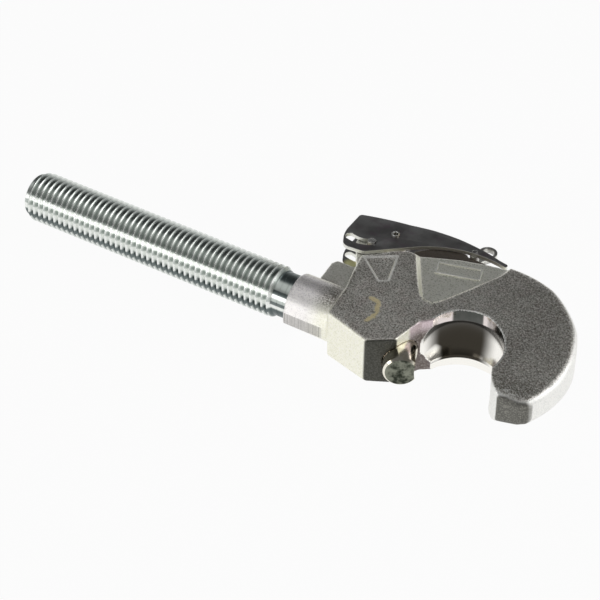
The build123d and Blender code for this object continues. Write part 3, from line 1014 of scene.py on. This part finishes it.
class QUICKHOOK_OT_bolt(bpy.types.Operator):
    """Locking bolt with its smudged end face, darkened as a painted dark reflection, and its return
    spring
    """
    bl_idname = "quickhook.bolt"
    bl_label = "Bolt and spring"

    def execute(self, context):
        settings = context.scene.quickhook_bolt
        piece = merged_copy("locking_bolt", "sprung_bolt")
        give(piece,
             machined_material("ground_bolt", settings.light, settings.shade, 0.14, along, 0.3),
             machined_material("bolt_end", settings.end, settings.end_shade, 0.34, side, 1.2, 6.0))
        # The end face takes the smudged material, darkened as a painted dark reflection
        for face in piece.data.polygons:
            if face.normal.dot(along) < -0.9:
                face.material_index = 1
        smooth(piece, 24)
        hand_over(piece, "bolt", "bolt", "locking_bolt")
        self.make_spring(settings)
        return {"FINISHED"}

    def make_spring(self, settings):
        """Round wire wound about the stem."""
        radius = settings.wire / 2
        mean = spring_high.z - radius
        room = BORE_DEPTH - BOLT_SHOULDER
        run = room - 2 * (radius + SPRING_END_GAP)
        coil = made("return_spring", bpy.ops.mesh.primitive_circle_add, vertices=14,
                    radius=radius, location=(mean, 0, 0), rotation=(math.pi / 2, 0, 0))
        modify(coil, "SCREW", axis="Z", screw_offset=run / SPRING_TURNS, steps=48,
               render_steps=48, iterations=SPRING_TURNS)
        coil.rotation_mode = "QUATERNION"
        coil.rotation_quaternion = UP.rotation_difference(along)
        coil.location = on_bolt(BOLT_SHOULDER + radius + SPRING_END_GAP)
        settle(coil)
        close_up(coil)
        give(coil, plated_material("plated_wire", settings.spring, settings.spring, 0.3))
        smooth(coil, 60)
        hand_over(coil, "hook", "spring", "bolt_spring")
        tuple(on_bolt(BORE_DEPTH))
        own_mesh(coil)


class QUICKHOOK_OT_lever(bpy.types.Operator):
    """Two blackened lever plates, their pins, and the pull eye on its rivet"""
    bl_idname = "quickhook.lever"
    bl_label = "Lever"

    def execute(self, context):
        settings = context.scene.quickhook_lever
        sheet = blackened_material(settings)
        pin = plated_material("plated_pin", settings.pin, settings.pin_tint, 0.2)
        eye = plated_material("plated_eye", settings.eye, settings.edge, 0.26)
        rows = [("lever_plate_near", "near_plate", "lever", "lever", sheet, settings.edge_round),
                ("lever_plate_far", "far_plate", "lever", "lever", sheet, settings.edge_round),
                ("lug_pin", "slot_pin", "hook", "pin", pin, settings.pin_round),
                ("bolt_pin", "pivot_pin", "bolt", "pin", pin, settings.pin_round),
                ("pull_eye", "cord_eye", "lever", "eye", eye, settings.eye_round),
                ("eye_rivet", "rivet", "lever", "pin", sheet, settings.pin_round)]
        for node, name, body, slot, material, width in rows:
            piece = merged_copy(node, name)
            if slot == "lever":
                low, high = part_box(node)
                carve(piece, prism("crescent", LEVER_CRESCENT, low.z, high.z), "UNION")
            join_faces(piece)
            if slot == "lever":
                self.round_corner(piece, settings.corner_round)
            give(soften(piece, width), material)
            if node == "lug_pin":
                self.slim(piece, settings.slot_play)
            hand_over(piece, body, slot, node)
        return {"FINISHED"}

    def round_corner(self, piece, offset):
        """Rounds the upright edges at the plates' rear corner."""
        edit_all(piece)
        bpy.ops.mesh.select_mode(type="EDGE")
        bpy.ops.mesh.select_all(action="DESELECT")
        leave_edit()
        for edge in piece.data.edges:
            ends = [piece.data.vertices[index].co.xy / MM for index in edge.vertices]
            edge.select = all((end - Vector(LEVER_CORNER)).length < CORNER_SLACK for end in ends)
        bpy.ops.object.mode_set(mode="EDIT")
        bpy.ops.mesh.bevel(offset=offset, segments=10, affect="EDGES")
        bpy.ops.mesh.select_mode(type="VERT")
        leave_edit()

    def slim(self, piece, play):
        """Takes a pin's skin inwards, so that its facets run free in the slot."""
        edit_all(piece)
        bpy.ops.transform.shrink_fatten(value=-play)
        leave_edit()


class QUICKHOOK_OT_stage(bpy.types.Operator):
    """Plain white floor, soft studio light and the camera"""
    bl_idname = "quickhook.stage"
    bl_label = "Stage"

    def execute(self, context):
        settings = context.scene.quickhook_stage
        context.scene.view_settings.view_transform = "Standard"
        self.add_floor(settings)
        self.add_sky(context, settings)
        self.add_lamps()
        self.add_camera(context, settings)
        return {"FINISHED"}

    def add_floor(self, settings):
        """Floor that the camera and the metal see as white, and that keeps the shadow."""
        floor = made("floor", bpy.ops.mesh.primitive_plane_add, size=FLOOR_SIZE,
                     location=(0, 0, cad_box[0].z))
        paint = new_paint("pale_floor")
        rays = paint.node("ShaderNodeLightPath").outputs
        seen = Number(paint, rays["Is Camera Ray"]).larger(
            Number(paint, rays["Is Glossy Ray"])).larger(Number(paint, rays["Is Transmission Ray"]))
        matt = paint.node("ShaderNodeBsdfDiffuse", {}, {"Color": (*settings.floor, 1.0)})
        glow = paint.node("ShaderNodeEmission", {}, {"Strength": 1.0})
        shader = paint.node("ShaderNodeMixShader", {}, {
            0: FLOOR_GLOW * seen, 1: matt.outputs[0], 2: glow.outputs[0]})
        give(floor, paint.finish(shader.outputs[0]))

    def add_sky(self, context, settings):
        """Pale near the floor and dim above, as in a studio with low walls of light."""
        world = bpy.data.worlds.new("studio")
        context.scene.world = world
        paint = Paint(world)
        height = paint.dot(paint.node("ShaderNodeTexCoord").outputs["Generated"], UP)
        tint = paint.mix(height.rising(0.0, 0.5), settings.low_sky, settings.high_sky)
        shader = paint.node("ShaderNodeBackground", {}, {"Color": tint, "Strength": 1.0})
        paint.finish(shader.outputs[0], "ShaderNodeOutputWorld")

    def add_lamps(self):
        """Soft boxes to the left, to the right, and overhead on the camera's side."""
        for name, turn, height, away, width, depth, power in LAMPS:
            toward = direction(math.radians(turn), math.radians(height))
            deselect()
            bpy.ops.object.light_add(type="AREA", location=away * toward,
                                     rotation=toward.to_track_quat("Z", "Y").to_euler())
            lamp = added(name).data
            lamp.shape = "RECTANGLE"
            lamp.size = width
            lamp.size_y = depth
            lamp.energy = power

    def add_camera(self, context, settings):
        """Camera at the place from which the photograph was taken."""
        back = direction(settings.azimuth, settings.elevation)
        level = Vector((math.cos(settings.azimuth), math.sin(settings.azimuth), 0))
        rise = back.cross(level)
        cos_roll, sin_roll = math.cos(settings.roll), math.sin(settings.roll)
        right = cos_roll * level + sin_roll * rise
        top = cos_roll * rise - sin_roll * level
        deselect()
        bpy.ops.object.camera_add(
            location=-settings.across * right + settings.above * top + settings.away * back,
            rotation=Matrix((right, top, back)).transposed().to_euler())
        camera = added("camera")
        camera.data.sensor_width = 36.0
        camera.data.angle = settings.view
        context.scene.camera = camera


class QUICKHOOK_PT_parts(bpy.types.Panel):
    """Lists what can be made"""
    bl_idname = "QUICKHOOK_PT_parts"
    bl_label = "Quick hook"
    bl_space_type = "VIEW_3D"
    bl_region_type = "UI"
    bl_category = "Quick hook"

    def draw(self, context):
        for group, kind, operator in GROUPS:
            self.layout.operator(operator.bl_idname)
            settings = getattr(context.scene, group)
            for name in kind.__annotations__:
                self.layout.prop(settings, name)


GROUPS = [("quickhook_forging", ForgingSettings, QUICKHOOK_OT_forging),
          ("quickhook_thread", ThreadSettings, QUICKHOOK_OT_thread),
          ("quickhook_bolt", BoltSettings, QUICKHOOK_OT_bolt),
          ("quickhook_lever", LeverSettings, QUICKHOOK_OT_lever),
          ("quickhook_stage", StageSettings, QUICKHOOK_OT_stage)]


def register():
    for group, kind, operator in GROUPS:
        bpy.utils.register_class(kind)
        bpy.utils.register_class(operator)
        setattr(bpy.types.Scene, group, bpy.props.PointerProperty(type=kind))
    bpy.utils.register_class(QUICKHOOK_PT_parts)


def unregister():
    bpy.utils.unregister_class(QUICKHOOK_PT_parts)
    for group, kind, operator in GROUPS:
        delattr(bpy.types.Scene, group)
        bpy.utils.unregister_class(operator)
        bpy.utils.unregister_class(kind)


def main():
    register()
    bpy.ops.quickhook.stage()
    bpy.ops.quickhook.forging()
    bpy.ops.quickhook.thread()
    bpy.ops.quickhook.bolt()
    bpy.ops.quickhook.lever()


if __name__ == "__main__":
    main()
